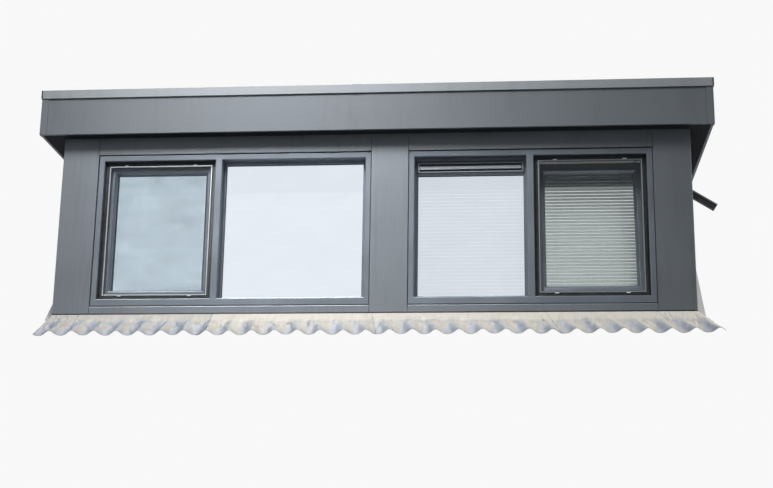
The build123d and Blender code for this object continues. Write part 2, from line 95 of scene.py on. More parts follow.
def length_property(name, description, millimetres):
    return FloatProperty(name=name, description=description, unit="LENGTH", min=0, default=millimetres * MM)


class DormerSizes(PropertyGroup):
    """Sizes of the fine pieces"""

    wave_pitch: length_property("Tile wave", "Distance between two troughs of the roof tiles", 149.2)
    wave_height: length_property("Wave height", "Height of the waves at the lead's lower edge", 33)
    apron_length: length_property("Apron length", "Length of the lead down the roof slope", 204)
    lead_sheet: length_property("Lead thickness", "Thickness of the lead sheet", 2.2)
    slat_width: length_property("Slat width", "Width of a blind slat", 24.6)
    slat_camber: length_property("Slat camber", "Rise of the slat's arched section", 3)
    slat_pitch: length_property("Slat pitch", "Distance between two blind slats", 24)
    mesh_pitch: length_property("Mesh pitch", "Distance between two threads of the insect mesh", 6)


class DormerColours(PropertyGroup):
    """Colours of the finishes"""

    panel: colour_property("Panels", "Anthracite laminate of the wall panels", "#787e84")
    profile: colour_property("Window profile", "Anthracite foil of frames and sashes", "#777f88")
    fascia: colour_property("Fascia", "Anthracite coating of the fascia", "#6f757c")
    # lighter than the fascia: partly the trim's own coat and partly a painted sheen of the sky it catches
    trim: colour_property("Roof-edge trim", "Powder coating of the roof-edge trim", "#959ba0")
    # the soffit boards are anthracite; their colour is written near black as painted shade under the overhang
    soffit: colour_property("Soffit", "Boards under the overhang", "#1f2226")
    # pale bloom and dull weathered lead; on the waves the pale also stands as painted light on flanks that
    # face right, the dull as painted shade on flanks that face left
    lead_bright: colour_property("Lead bloom", "Pale carbonate bloom on the lead", "#ccc8c0")
    lead_dull_and_shade: colour_property("Lead grey", "Weathered lead in the troughs", "#a3a9b4")
    # the coat's pale blue is partly painted reflection: the colour of the mirrored sky
    glass: colour_property("Glass", "Mirror coat of the panes", "#e6edf5")
    blind: colour_property("Blind", "Stove enamel of the blind slats", "#e8eded")
    timber: colour_property("Timber", "Planed spruce", "#d9bd8e")
    lining: colour_property("Lining", "Painted lining boards", "#ecebe6")
    rubber: colour_property("Rubber", "Black rubber of gaskets and roof sheet", "#1c1e20")


def sizes():
    return bpy.context.scene.dormer_sizes


def colours():
    return bpy.context.scene.dormer_colours


# Node trees


def add(tree, kind, inputs=None, ramp=None, **settings):
    """Adds one shader node. inputs gives its sockets a value or a link, where a node stands for its first
    output, and ramp the stops of a colour ramp."""
    made = tree.nodes.new("ShaderNode" + kind)
    for name, value in settings.items():
        setattr(made, name, value)
    for key, value in (inputs or {}).items():
        if isinstance(value, bpy.types.Node):
            value = value.outputs[0]
        if isinstance(value, bpy.types.NodeSocket):
            tree.links.new(value, made.inputs[key])
        else:
            made.inputs[key].default_value = value
    if ramp:
        stops = made.color_ramp.elements
        while len(stops) < len(ramp):
            stops.new(0.5)
        for stop, (position, colour) in zip(stops, ramp):
            stop.position, stop.color = position, colour
    return made


def new_material(name):
    """An empty material, its node tree, and the piece's own coordinates."""
    material = bpy.data.materials.new(name)
    material.use_nodes = True
    tree = material.node_tree
    tree.nodes.clear()
    return material, tree, add(tree, "TexCoord").outputs["Object"]


def times(colour, factor):
    return tuple(min(1.0, c * factor) for c in colour[:3]) + (1.0,)


# The stretch of a pattern that runs in no direction, and the span in which nearly all values of a noise lie
EVEN = (1, 1, 1)
NOISE_SPAN = {"From Min": 0.3, "From Max": 0.7}


def uneven_finish(
    name, tones, roughness, cloud, skin, relief, streak=None, ends=(0.35, 0.65), metallic=0.0, specular=0.5
):
    """A finish made uneven by three noise patterns, each (size in mm, detail, stretch along X, Y and Z).

    The mean of cloud and streak picks the colour between the two tones, from one end to the other, and the
    roughness between its two values. The skin stands up by relief (mm, strength)."""
    material, tree, place = new_material(name)
    patterns = []
    for millimetres, detail, stretch in (cloud, streak or cloud, skin):
        scaled = add(tree, "Mapping", {"Vector": place, "Scale": tuple(1 / s for s in stretch)})
        noise = {"Vector": scaled, "Scale": 1000 / millimetres, "Detail": detail}
        patterns.append(add(tree, "TexNoise", noise))
    mean = add(tree, "Mix", {0: 0.5, 2: patterns[0], 3: patterns[1]})
    colour = add(tree, "ValToRGB", {"Fac": mean}, ramp=list(zip(ends, tones)))
    smooth, rough = roughness
    matt = add(tree, "MapRange", {"Value": mean, **NOISE_SPAN, "To Min": smooth, "To Max": rough})
    height, strength = relief
    normal = add(tree, "Bump", {"Height": patterns[2], "Distance": height * MM, "Strength": strength})
    shader = add(
        tree, "BsdfPrincipled",
        {
            "Base Color": colour, "Roughness": matt, "Normal": normal,
            "Metallic": metallic, "Specular IOR Level": specular,
        },
    )
    add(tree, "OutputMaterial", {"Surface": shader})
    return material


# Meshes


def grid_faces(rows, columns, closed_rows=False, closed_columns=False):
    """Quads of a grid of rows x columns points, numbered row by row; a closed side joins last to first."""
    row = np.arange(rows if closed_rows else rows - 1)
    column = np.arange(columns if closed_columns else columns - 1)
    r, c = np.meshgrid(row, column, indexing="ij")
    r2, c2 = (r + 1) % rows, (c + 1) % columns
    corners = (r * columns + c, r * columns + c2, r2 * columns + c2, r2 * columns + c)
    return np.stack([corner.ravel() for corner in corners], axis=1)


def joined(*shells):
    """Several (points, faces) shells as one, each shell's faces numbered after the last one's points."""
    starts = np.cumsum([0] + [len(points) for points, _ in shells[:-1]])
    points = np.concatenate([points for points, _ in shells])
    return points, np.concatenate([faces + start for (_, faces), start in zip(shells, starts)])


def without_repeats(faces):
    """Face lists for the mesh: a quad whose last two corners are the same becomes a triangle."""
    single = faces[:, 2] == faces[:, 3]
    return faces[~single].tolist() + faces[single][:, :3].tolist()


def placed(name, data):
    """A new object in the scene, at the origin."""
    made = bpy.data.objects.new(name, data)
    bpy.context.scene.collection.objects.link(made)
    return made


def piece(name, shell, material, replaces=(), smooth_below=40.0, values=None, second=None):
    """A mesh object from (points, faces), riding on the body, with optional named values per point.

    second is (material, numbers of the faces that have it)."""
    points, faces = shell
    mesh = bpy.data.meshes.new(name)
    mesh.from_pydata(points.tolist(), [], without_repeats(faces))
    mesh.polygons.foreach_set("use_smooth", np.full(len(mesh.polygons), smooth_below > 0))
    if 0 < smooth_below < 180:
        mesh.set_sharp_from_angle(angle=math.radians(smooth_below))
    for key, numbers in (values or {}).items():
        layer = mesh.attributes.new(key, "FLOAT", "POINT")
        layer.data.foreach_set("value", np.ravel(numbers).astype(np.float32))
    mesh.materials.append(material)
    if second:
        mesh.materials.append(second[0])
        index = np.zeros(len(mesh.polygons), dtype=np.int32)
        index[list(second[1])] = 1
        mesh.polygons.foreach_set("material_index", index)
    made = placed(name, mesh)
    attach(made, "root")
    if replaces:
        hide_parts(*replaces)
    return made


def box_shell(low, high):
    """The eight corners of a box and its six outward faces."""
    x, y, z = zip(low, high)
    points = np.array([(x[i], y[j], z[k]) for k in (0, 1) for j in (0, 1) for i in (0, 1)])
    faces = np.array(
        [(0, 2, 3, 1), (4, 5, 7, 6), (0, 1, 5, 4), (2, 6, 7, 3), (0, 4, 6, 2), (1, 3, 7, 5)]
    )
    return points, faces


def anticlockwise(outline):
    """A closed outline of (a, b) points, turned round where half the sum of a b' - a' b is negative."""
    a, b = outline.T
    return outline if np.sum(a * np.roll(b, -1) - np.roll(a, -1) * b) > 0 else outline[::-1]


def mitred(profile, x0, x1, z0, z1):
    """A closed (outward, y) profile carried round the rectangle x0..x1, z0..z1 with mitred corners.

    The corner (cx, cz) with signs (sx, sz) gives the point (cx + sx * outward, y, cz + sz * outward)."""
    outward, y = anticlockwise(profile).T
    corners = ((x0, z0, -1, -1), (x1, z0, 1, -1), (x1, z1, 1, 1), (x0, z1, -1, 1))
    rings = [np.stack([cx + sx * outward, y, cz + sz * outward], axis=1) for cx, cz, sx, sz in corners]
    return np.concatenate(rings), grid_faces(4, len(outward), True, True)


def rounded_outline(width, depth, radius, steps=3):
    """Outline of a width x depth rectangle from (0, 0), each corner an arc of the radius."""
    turn = np.linspace(0, math.pi / 2, steps + 1)
    parts = []
    corners = ((width, 0, -90), (width, depth, 0), (0, depth, 90), (0, 0, 180))
    for x, y, start in corners:
        centre = (abs(x - radius) if x else radius, abs(y - radius) if y else radius)
        angle = turn + math.radians(start)
        parts.append(np.stack([centre[0] + radius * np.cos(angle), centre[1] + radius * np.sin(angle)], 1))
    return np.concatenate(parts)


def bar_along_x(section, x0, x1):
    """A closed (y, z) section carried straight from x0 to x1, with a fan of triangles on either end."""
    section = anticlockwise(section)
    count = len(section)
    rings = [np.column_stack([np.full(count, x), section]) for x in (x0, x1)]
    middle = [np.array([[x, *section.mean(axis=0)]]) for x in (x0, x1)]
    points = np.concatenate(rings + middle)
    sides = grid_faces(2, count, False, True)
    edge = np.arange(count)
    ahead = (edge + 1) % count
    near = np.stack([np.full(count, 2 * count), ahead, edge, edge], axis=1)
    far = np.stack([np.full(count, 2 * count + 1), count + edge, count + ahead, count + ahead], axis=1)
    return points, np.concatenate([sides, near, far])


def bar_along_z(section, z0, z1):
    """A closed (x, y) section carried straight from z0 to z1: a bar along X with its axes moved round."""
    points, faces = bar_along_x(section, z0, z1)
    return points[:, (1, 2, 0)], faces


def slats(x0, x1, y_back, z0, z1):
    """Turned slats, arched by camber * (1 - (2 t)^2) where t runs from -1/2 to 1/2 over their width."""
    width, camber, pitch = sizes().slat_width, sizes().slat_camber, sizes().slat_pitch
    turn, sheet, rail = math.radians(70), 0.5 * MM, 26 * MM
    t = np.linspace(-0.5, 0.5, 9)
    arch = camber * (1 - (2 * t) ** 2) - camber / 2
    upper = np.stack([t * width, arch + sheet / 2], axis=1)
    lower = np.stack([t * width, arch - sheet / 2], axis=1)[::-1]
    section = np.concatenate([upper, lower])
    sine, cosine = math.sin(turn), math.cos(turn)
    turned = section @ np.array([(cosine, sine), (-sine, cosine)])
    count = int((z1 - z0 - 1.5 * rail - width / 2) / pitch)
    rows = [z1 - rail - width / 2 - index * pitch for index in range(count)]
    y_mid = y_back + width / 2
    return joined(*[bar_along_x(turned + (y_mid, row), x0 + 0.5 * MM, x1 - 0.5 * MM) for row in rows])


def ladders(x0, x1, y_back, z0, z1):
    """Ladder cords: one in front of and one behind the slats at each side, and the lift cord between.

    Each is a circle (x + r cos t, y + r sin t) carried straight up from rail to rail."""
    y_mid = y_back + sizes().slat_width / 2
    turn = np.linspace(0, 2 * math.pi, 6, endpoint=False)
    cords = []
    for share in (0.14, 0.86):
        x = x0 + (x1 - x0) * share
        for offset, radius in ((-8.5 * MM, 0.8 * MM), (8.5 * MM, 0.8 * MM), (0.0, 1.0 * MM)):
            circle = np.stack([x + radius * np.cos(turn), y_mid + offset + radius * np.sin(turn)], 1)
            cords.append(bar_along_z(circle, z0 + 8 * MM, z1 - 14 * MM))
    return joined(*cords)


def tilted(shell):
    """Turns a shell of the right sash inwards about the sash's lower back edge.

    y' = y cos t + z sin t and z' = z cos t - y sin t, measured from that edge."""
    points, faces = shell
    low = SILL + 3 * MM
    y, z = points[:, 1] - SASH_BACK, points[:, 2] - low
    sine, cosine = math.sin(SASH_TILT), math.cos(SASH_TILT)
    turned = np.stack([points[:, 0], SASH_BACK + y * cosine + z * sine, low + z * cosine - y * sine], 1)
    return turned, faces


def straight(shell):
    """The shell as it is, for what stands upright."""
    return shell


def soften(node, width):
    """Rounds the edges of a CAD node: its loose triangles are welded, flat faces joined, edges bevelled."""
    weld = node.modifiers.new("weld", "WELD")
    weld.merge_threshold = 1e-5
    flat = node.modifiers.new("flat faces", "DECIMATE")
    flat.decimate_type = "DISSOLVE"
    flat.angle_limit = math.radians(0.5)
    edge = node.modifiers.new("edge", "BEVEL")
    edge.width, edge.segments, edge.limit_method = width, 2, "ANGLE"
    edge.angle_limit = math.radians(30)


def finish_node(name, material, rounding=0.0):
    """Gives a CAD node its material, and rounded edges where a width is given for them."""
    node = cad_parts[name]
    for slot in node.material_slots:
        slot.material = material
    if not node.material_slots:
        node.data.materials.append(material)
    if rounding:
        soften(node, rounding)


# Materials


def anthracite_laminate():
    """High-pressure laminate: pressed smooth, satin, with faint rain streaks down its face."""
    base = colours().panel[:]
    return uneven_finish(
        "Anthracite laminate", (times(base, 0.95), times(base, 1.04)), (0.42, 0.46), (420, 3, EVEN),
        (1.6, 2, EVEN), (0.05, 0.4), streak=(26, 3, (1, 1, 22)), ends=(0.375, 0.5), metallic=0.7,
    )


def foiled_profile():
    """PVC-U profile wrapped in embossed foil: satin, with a fine grain that breaks up the highlight."""
    base = colours().profile[:]
    return uneven_finish(
        "Anthracite foiled PVC-U", (times(base, 0.96), times(base, 1.04)), (0.41, 0.47), (260, 3, EVEN),
        (2.2, 3, (3, 1, 3)), (0.06, 0.5), metallic=0.6,
    )


def coated_aluminium(name, base, roughness=0.38, metallic=0.5, specular=0.5):
    """Powder-coated or anodised aluminium: slight orange peel, satin, with faint marks of rain."""
    return uneven_finish(
        name, (times(base, 0.96), times(base, 1.04)), (roughness - 0.02, roughness + 0.03), (500, 4, EVEN),
        (3.5, 1, EVEN), (0.08, 0.3), streak=(40, 3, (1, 1, 10)), ends=(0.375, 0.5), metallic=metallic,
        specular=specular,
    )


def painted_board():
    """Painted lining board: matt white with the slight stipple of a roller."""
    base = colours().lining[:]
    return uneven_finish(
        "Painted lining board", (times(base, 0.95), base), (0.55, 0.7), (300, 2, EVEN), (2.5, 2, EVEN),
        (0.15, 0.4),
    )


def rubber_sheet():
    """EPDM sheet: matt black rubber with fine fabric print, chalked in patches by standing water."""
    return uneven_finish(
        "EPDM roof sheet", (colours().rubber[:], linear("#43464a")), (0.64, 0.76), (380, 4, EVEN),
        (3, 1, EVEN), (0.2, 0.5), ends=(0.45, 0.72), specular=0.3,
    )


def gasket_rubber():
    """EPDM gasket: extruded black rubber, softly shiny, with a little dust."""
    return uneven_finish(
        "EPDM gasket", (linear("#141618"), linear("#26292c")), (0.4, 0.6), (30, 3, EVEN), (1.5, 1, EVEN),
        (0.02, 0.3),
    )


def stove_enamel(name, base, roughness=0.35):
    """Stove-enamelled metal strip: smooth and softly shiny, with thin dust along it."""
    return uneven_finish(
        name, (times(base, 0.9), base), (roughness, roughness + 0.15), (45, 3, (6, 1, 1)), (2, 1, EVEN),
        (0.02, 0.2),
    )


def braided_cord():
    """Braided polyester cord: white yarn laid over and under, matt."""
    yarn = (1.5, 1, (1, 1, 2))
    return uneven_finish(
        "Braided polyester cord", (linear("#c9ccca"), linear("#eceeec")), (0.75, 0.85), yarn, yarn, (0.2, 0.6)
    )


def moulded_plastic(name, base, roughness, specular=0.5):
    """Injection-moulded plastic: even colour, a shallow spark-eroded texture."""
    return uneven_finish(
        name, (times(base, 0.85), times(base, 1.1)), (roughness - 0.06, roughness + 0.1), (70, 3, EVEN),
        (1.2, 2, EVEN), (0.05, 0.4), specular=specular,
    )


def planed_spruce(name, along):
    """Planed spruce: pale earlywood with darker latewood lines that run along the given axis."""
    material, tree, place = new_material(name)
    base = colours().timber[:]
    # growth rings 14 mm wide wander over 90 mm, the fibre is 1.5 mm; each is drawn out along the board
    patterns = []
    for millimetres, detail, length in ((14, 4, 26), (90, 2, 8), (1.5, 2, 40)):
        scale = tuple(1 / length if axis == along else 1 for axis in range(3))
        scaled = add(tree, "Mapping", {"Vector": place, "Scale": scale})
        noise = {"Vector": scaled, "Scale": 1000 / millimetres, "Detail": detail}
        patterns.append(add(tree, "TexNoise", noise))
    rings, wander, fibre = patterns
    mean = add(tree, "Mix", {0: 0.5, 2: rings, 3: wander})
    colour = add(
        tree, "ValToRGB", {"Fac": mean},
        ramp=[(0.38, times(base, 0.72)), (0.47, base), (0.56, times(base, 1.12)), (0.64, times(base, 0.86))],
    )
    matt = add(tree, "MapRange", {"Value": fibre, **NOISE_SPAN, "To Min": 0.5, "To Max": 0.68})
    normal = add(tree, "Bump", {"Height": fibre, "Distance": 0.15 * MM, "Strength": 0.5})
    shader = add(tree, "BsdfPrincipled", {"Base Color": colour, "Roughness": matt, "Normal": normal})
    add(tree, "OutputMaterial", {"Surface": shader})
    return material


def strand_board():
    """Oriented strand board: long pressed wood strands in all directions, lightly waxed."""
    material, tree, place = new_material("Oriented strand board")
    drawn_out = add(tree, "Mapping", {"Vector": place, "Scale": (1, 0.32, 1)})
    strands = add(tree, "TexVoronoi", {"Vector": drawn_out, "Scale": 1000 / 34}, feature="F1")
    tone = add(tree, "SeparateColor", {0: strands.outputs["Color"]})
    along = add(tree, "Mapping", {"Vector": place, "Scale": (1, 1 / 8, 1)})
    fibre = add(tree, "TexNoise", {"Vector": along, "Scale": 1000 / 3, "Detail": 3})
    tones = ((0.0, "#a57c46"), (0.4, "#c79f63"), (0.75, "#d9b980"), (1.0, "#b68d54"))
    colour = add(tree, "ValToRGB", {"Fac": tone}, ramp=[(at, linear(shade)) for at, shade in tones])
    matt = add(tree, "MapRange", {"Value": fibre, **NOISE_SPAN, "To Min": 0.5, "To Max": 0.7})
    fine = add(tree, "Bump", {"Height": fibre, "Distance": 0.2 * MM, "Strength": 0.5})
    normal = add(tree, "Bump", {"Height": tone, "Distance": 0.4 * MM, "Strength": 0.6, "Normal": fine})
    shader = add(tree, "BsdfPrincipled", {"Base Color": colour, "Roughness": matt, "Normal": normal})
    add(tree, "OutputMaterial", {"Surface": shader})
    return material


def milled_lead(name, start):
    """Milled lead sheet: soft grey metal under a whitish carbonate bloom; dull blue where the bloom is thin
    and as painted shade.

    The bloom is the start value plus the sheet's own attribute, which also carries painted light and shade on
    the waves' flanks and a painted shadow line along the laps, broken up by 60 mm blotches and by runs down
    the slope."""
    material, tree, place = new_material(name)
    # the sheet's attribute carries its bloom together with painted light and shade on the waves' flanks and a
    # painted shadow line along the laps
    bloom = add(tree, "Attribute", attribute_name="bloom").outputs["Fac"]
    blotch = add(tree, "TexNoise", {"Vector": place, "Scale": 1000 / 60, "Detail": 5, "Roughness": 0.6})
    down = add(tree, "Mapping", {"Vector": place, "Scale": (1, 1 / 6, 1 / 6)})
    run = add(tree, "TexNoise", {"Vector": down, "Scale": 1000 / 14, "Detail": 4})
    both = add(tree, "Math", {0: blotch, 1: run}, operation="ADD")
    broken = add(tree, "Math", {0: both, 1: 0.55, 2: start - 0.55}, operation="MULTIPLY_ADD")
    level = add(tree, "Math", {0: bloom, 1: broken}, operation="ADD", use_clamp=True)
    pale, dull = colours().lead_bright[:], colours().lead_dull_and_shade[:]
    colour = add(
        tree, "ValToRGB", {"Fac": level},
        ramp=[(0.0, times(dull, 0.8)), (0.35, dull), (0.65, times(pale, 0.82)), (0.92, pale)],
    )
    matt = add(tree, "MapRange", {"Value": blotch, **NOISE_SPAN, "To Min": 0.55, "To Max": 0.7})
    fine = add(tree, "TexNoise", {"Vector": place, "Scale": 1000 / 9, "Detail": 4})
    normal = add(tree, "Bump", {"Height": fine, "Distance": 0.5 * MM, "Strength": 0.5})
    shader = add(
        tree, "BsdfPrincipled",
        {
            "Base Color": colour, "Metallic": 0.1, "Roughness": matt, "Specular IOR Level": 0.2,
            "Normal": normal,
        },
    )
    add(tree, "OutputMaterial", {"Surface": shader})
    return material


def mirror_glass(name, mirror, tint, painted_wisp_depth=0.0):
    """Coated float glass: polished, mirrors the bright sky in front and lets the inside show faintly; its
    tint carries painted wisps of cloud reflection.
    """
    material, tree, place = new_material(name)
    # painted reflection of clouds: faint slanting wisps, 300 mm long, that darken the tint
    turn = (0, math.radians(-35), 0)
    slant = add(tree, "Mapping", {"Vector": place, "Rotation": turn, "Scale": (1, 1, 1.9)})
    cloud_reflection = add(
        tree, "TexNoise",
        {"Vector": slant, "Scale": 1000 / 300, "Detail": 2, "Roughness": 0.4, "Distortion": 0.7},
    )
    colour = add(tree, "ValToRGB", {"Fac": cloud_reflection}, ramp=[(0.25, times(tint, 0.97 - painted_wisp_depth)), (0.65, tint)])
    mirrored = add(tree, "BsdfPrincipled", {"Base Color": colour, "Metallic": 1.0, "Roughness": 0.0})
    clear = add(tree, "BsdfTransparent", {"Color": (0.96, 0.985, 0.985, 1)})
    facing = add(tree, "LayerWeight", {"Blend": 0.3}).outputs["Facing"]
    amount = add(tree, "MapRange", {"Value": facing, "To Min": mirror, "To Max": 1.0})
    shader = add(tree, "MixShader", {0: amount, 1: clear, 2: mirrored})
    add(tree, "OutputMaterial", {"Surface": shader})
    return material


def clear_glass():
    """Clear float glass: polished, nearly invisible but for a faint mirror image, with wiping smears."""
    material, tree, place = new_material("Clear float glass")
    smear = add(tree, "TexNoise", {"Vector": place, "Scale": 1000 / 150, "Detail": 3})
    matt = add(tree, "MapRange", {"Value": smear, **NOISE_SPAN, "To Min": 0.02, "To Max": 0.06})
    coat = {"Base Color": linear("#eef3f5"), "Metallic": 1.0, "Roughness": matt}
    mirrored = add(tree, "BsdfPrincipled", coat)
    clear = add(tree, "BsdfTransparent", {"Color": (0.97, 0.985, 0.98, 1)})
    amount = add(tree, "LayerWeight", {"Blend": 0.25}).outputs["Fresnel"]
    shader = add(tree, "MixShader", {0: amount, 1: clear, 2: mirrored})
    add(tree, "OutputMaterial", {"Surface": shader})
    return material


def insect_mesh():
    """Glass-fibre insect mesh: grey threads at right angles. The real 1.4 mm spacing is too fine to show, so
    the threads stand at the wider pitch of the sizes, each 0.06 of it wide."""
    material, tree, place = new_material("Glass-fibre insect mesh")
    axes = add(tree, "SeparateXYZ", {0: place})
    pitch = sizes().mesh_pitch
    threads = []
    for axis in (0, 2):
        phase = add(tree, "Math", {0: axes.outputs[axis], 1: pitch / 2}, operation="PINGPONG")
        threads.append(add(tree, "Math", {0: phase, 1: pitch * 0.03}, operation="LESS_THAN"))
    woven = add(tree, "Math", {0: threads[0], 1: threads[1]}, operation="MAXIMUM")
    cloth = add(tree, "BsdfPrincipled", {"Base Color": linear("#6f767c"), "Roughness": 0.55})
    shader = add(tree, "MixShader", {0: woven, 1: add(tree, "BsdfTransparent"), 2: cloth})
    add(tree, "OutputMaterial", {"Surface": shader})
    return material


# Stage


# How bright the camera sees the world and the floor
PALE_LEVEL = 0.94
WHITE = (1, 1, 1, 1)


def stand_camera():
    """The camera, where the photo's straight edges put it, in metres and radians."""
    camera = bpy.data.cameras.new("camera")
    camera.lens, camera.sensor_width = 67.0, 36.0
    camera.clip_end = 200
    eye = placed("camera", camera)
    stand, pitch, yaw, roll = (0.960, -9.207, -2.024), 0.2683, -0.0926, 0.0143
    ahead = Vector((math.sin(yaw) * math.cos(pitch), math.cos(yaw) * math.cos(pitch), math.sin(pitch)))
    right = Vector((math.cos(yaw), -math.sin(yaw), 0))
    up = right.cross(ahead)
    side = right * math.cos(roll) + up * math.sin(roll)
    top = up * math.cos(roll) - right * math.sin(roll)
    turned = Matrix((side, top, -ahead)).transposed().to_4x4()
    eye.matrix_world = Matrix.Translation(stand) @ turned
    bpy.context.scene.camera = eye


def light_world():
    """A pale world that looks different to the camera, to glass, to satin surfaces and to the soft light."""
    world = bpy.data.worlds.new("studio")
    bpy.context.scene.world = world
    world.use_nodes = True
    tree = world.node_tree
    tree.nodes.clear()
    ray = add(tree, "LightPath").outputs
    direction = add(tree, "SeparateXYZ", {0: add(tree, "TexCoord").outputs["Generated"]})
    x, y, z = (direction.outputs[axis] for axis in range(3))
    # each (direction, a, b, value at a, value at b), in this order:
    # for satin surfaces, a front that darkens to the right, and where the even light round it begins
    # for polished glass, a bright wall that dims to the right
    # for the soft light, little from the front, more from behind, and more from above
    front, behind, polished, from_behind, from_above = (
        add(tree, "MapRange", {0: along, 1: a, 2: b, 3: at_a, 4: at_b})
        for along, a, b, at_a, at_b in (
            (x, -0.12, 0.08, 0.34, 0.0), (y, -0.7, -0.3, 0.0, 1.0),
            (x, 0.0, 0.12, 1.0, 0.62), (y, -0.3, 0.5, 0.1, 0.5), (z, -0.3, 0.8, 0.3, 1.2),
        )
    )
    satin = add(tree, "Mix", {0: behind, 2: front, 3: 0.7})
    mirrored = add(tree, "Mix", {0: ray["Is Singular Ray"], 2: satin, 3: polished})
    dome = add(tree, "Math", {0: from_behind, 1: from_above}, operation="MULTIPLY")
    lit = add(tree, "Mix", {0: ray["Is Glossy Ray"], 2: dome, 3: mirrored})
    direct, through = ray["Is Camera Ray"], ray["Is Transmission Ray"]
    seen = add(tree, "Math", {0: direct, 1: through}, operation="MAXIMUM")
    level = add(tree, "Mix", {0: seen, 2: lit, 3: PALE_LEVEL})
    # the soft light is a little blue, as the open sky is
    tint = {0: ray["Is Diffuse Ray"], 6: WHITE, 7: (0.78, 0.9, 1.12, 1)}
    blue = add(tree, "Mix", tint, data_type="RGBA").outputs[2]
    background = add(tree, "Background", {"Color": blue, "Strength": level})
    add(tree, "OutputWorld", {"Surface": background})


def hang_lamps():
    """Three suns and a softbox."""
    # broad suns: one from above in front on the right, a weak one from the left and one from behind,
    # each (name, direction towards it, width in degrees, strength, colour)
    lamps = (
        ("key", (0.37, -0.585, 0.8), 27, 2.95, (1.0, 0.985, 0.955)),
        ("fill", (-0.8, -0.5, 0.3), 60, 0.15, (0.9, 0.96, 1.0)),
        ("rear", (0.3, 0.85, 0.45), 60, 0.9, (1.0, 1.0, 1.0)),
    )
    for name, towards, angle, strength, colour in lamps:
        light = bpy.data.lights.new(name, "SUN")
        light.angle, light.energy, light.color = math.radians(angle), strength, colour
        lamp = placed(name, light)
        lamp.location = Vector(towards) * 10
        lamp.rotation_euler = Vector(towards).to_track_quat("Z", "Y").to_euler()
        lamp.visible_glossy = False
    # a softbox with a grid, high on the left, for the sheen of satin surfaces alone
    light = bpy.data.lights.new("softbox", "AREA")
    light.shape, light.size, light.size_y, light.energy = "RECTANGLE", 1.8, 4.5, 142.0
    light.spread = math.radians(35)
    lamp = placed("softbox", light)
    lamp.location = (-2.3, -5.2, 8.0)
    lamp.rotation_euler = (lamp.location - Vector((-0.45, 0, 0.7))).to_track_quat("Z", "Y").to_euler()
    lamp.visible_diffuse = False


def lay_floor():
    """A pale floor, 2.2 m under the dormer."""
    mesh = bpy.data.meshes.new("floor")
    reach, depth = 60.0, -2.2
    corners = [(a * reach, b * reach, depth) for a, b in ((-1, -1), (1, -1), (1, 1), (-1, 1))]
    mesh.from_pydata(corners, [], [(0, 1, 2, 3)])
    floor = placed("floor", mesh)
    material, tree, place = new_material("Pale studio floor")
    cloud = add(tree, "TexNoise", {"Vector": place, "Scale": 1000 / 900, "Detail": 2})
    greys = [(0.35, linear("#d9d9d8")), (0.65, linear("#dbdbda"))]
    colour = add(tree, "ValToRGB", {"Fac": cloud}, ramp=greys)
    lit = add(tree, "BsdfPrincipled", {"Base Color": colour, "Roughness": 0.8})
    # white to the camera but for a faint shadow, and open from below; it throws little light up
    glow = add(tree, "Emission", {"Color": WHITE, "Strength": PALE_LEVEL})
    ray = add(tree, "LightPath").outputs
    dark = add(tree, "BsdfDiffuse", {"Color": (0.06, 0.06, 0.06, 1)})
    lit = add(tree, "MixShader", {0: ray["Is Diffuse Ray"], 1: lit, 2: dark})
    share = add(tree, "Math", {0: ray["Is Camera Ray"], 1: 0.6}, operation="MULTIPLY")
    upper = add(tree, "MixShader", {0: share, 1: lit, 2: glow})
    below = add(tree, "NewGeometry").outputs["Backfacing"]
    shader = add(tree, "MixShader", {0: below, 1: upper, 2: add(tree, "BsdfTransparent")})
    add(tree, "OutputMaterial", {"Surface": shader})
    mesh.materials.append(material)


class DORMER_OT_stage(Operator):
    """Camera, lamps, world and floor"""

    bl_idname = "dormer.stage"
    bl_label = "Stage"

    def execute(self, context):
        stand_camera()
        light_world()
        hang_lamps()
        lay_floor()
        return {"FINISHED"}


# Pieces of the dormer


class DORMER_OT_cladding(Operator):
    """Wall panels, strips, fascia, soffit and roof-edge trim"""

    bl_idname = "dormer.cladding"
    bl_label = "Cladding"

    def execute(self, context):
        laminate = anthracite_laminate()
        panels = (
            "left_cheek_cladding", "right_cheek_cladding",
            "left_post_cladding", "centre_post_cladding", "right_post_cladding",
            "left_head_strip", "right_head_strip", "left_sill_strip", "right_sill_strip",
        )
        for name in panels:
            finish_node(name, laminate, 1.2 * MM)
        fascia = coated_aluminium("Anthracite coated fascia", colours().fascia[:], 0.47, 0.28)
        for name in ("front_fascia", "left_fascia", "right_fascia"):
            finish_node(name, fascia, 1.5 * MM)
        # the soffit's near-black colour is painted shade under the overhang
        soffit = coated_aluminium("Anthracite soffit board, painted in shade", colours().soffit[:], 0.75, 0.0, 0.1)
        finish_node("soffit", soffit, 1.0 * MM)
        # the trim's light coat is partly its own colour and partly a painted sheen of the sky
        trim = coated_aluminium("Powder-coated roof-edge trim", colours().trim[:], 0.5, 0.25)
        finish_node("roof_trim", trim)
        return {"FINISHED"}


class DORMER_OT_structure(Operator):
    """Timber, cheek walls, roof deck and inner boards"""

    bl_idname = "dormer.structure"
    bl_label = "Structure"

    def execute(self, context):
        spruce_x, spruce_y, spruce_z = (
            planed_spruce("Planed spruce " + letter, axis) for axis, letter in enumerate("XYZ")
        )
        for names, material, width in (
            (("sole_plate", "front_lintel"), spruce_x, 3.0),
            (("roof_joists",), spruce_y, 3.0),
            (("left_post", "centre_post", "right_post"), spruce_z, 3.0),
            (("left_cheek_wall", "right_cheek_wall", "roof_deck"), strand_board(), 1.0),
            (("ceiling_lining", "cheek_linings", "window_board"), painted_board(), 1.5),
        ):
            for name in names:
                finish_node(name, material, width * MM)
        return {"FINISHED"}


class DORMER_OT_roof(Operator):
    """Roof sheet and rear flashing"""

    bl_idname = "dormer.roof"
    bl_label = "Roof sheet"

    def execute(self, context):
        sheet = rubber_sheet()
        finish_node("roof_membrane", sheet)
        finish_node("rear_flashing", sheet)
        return {"FINISHED"}


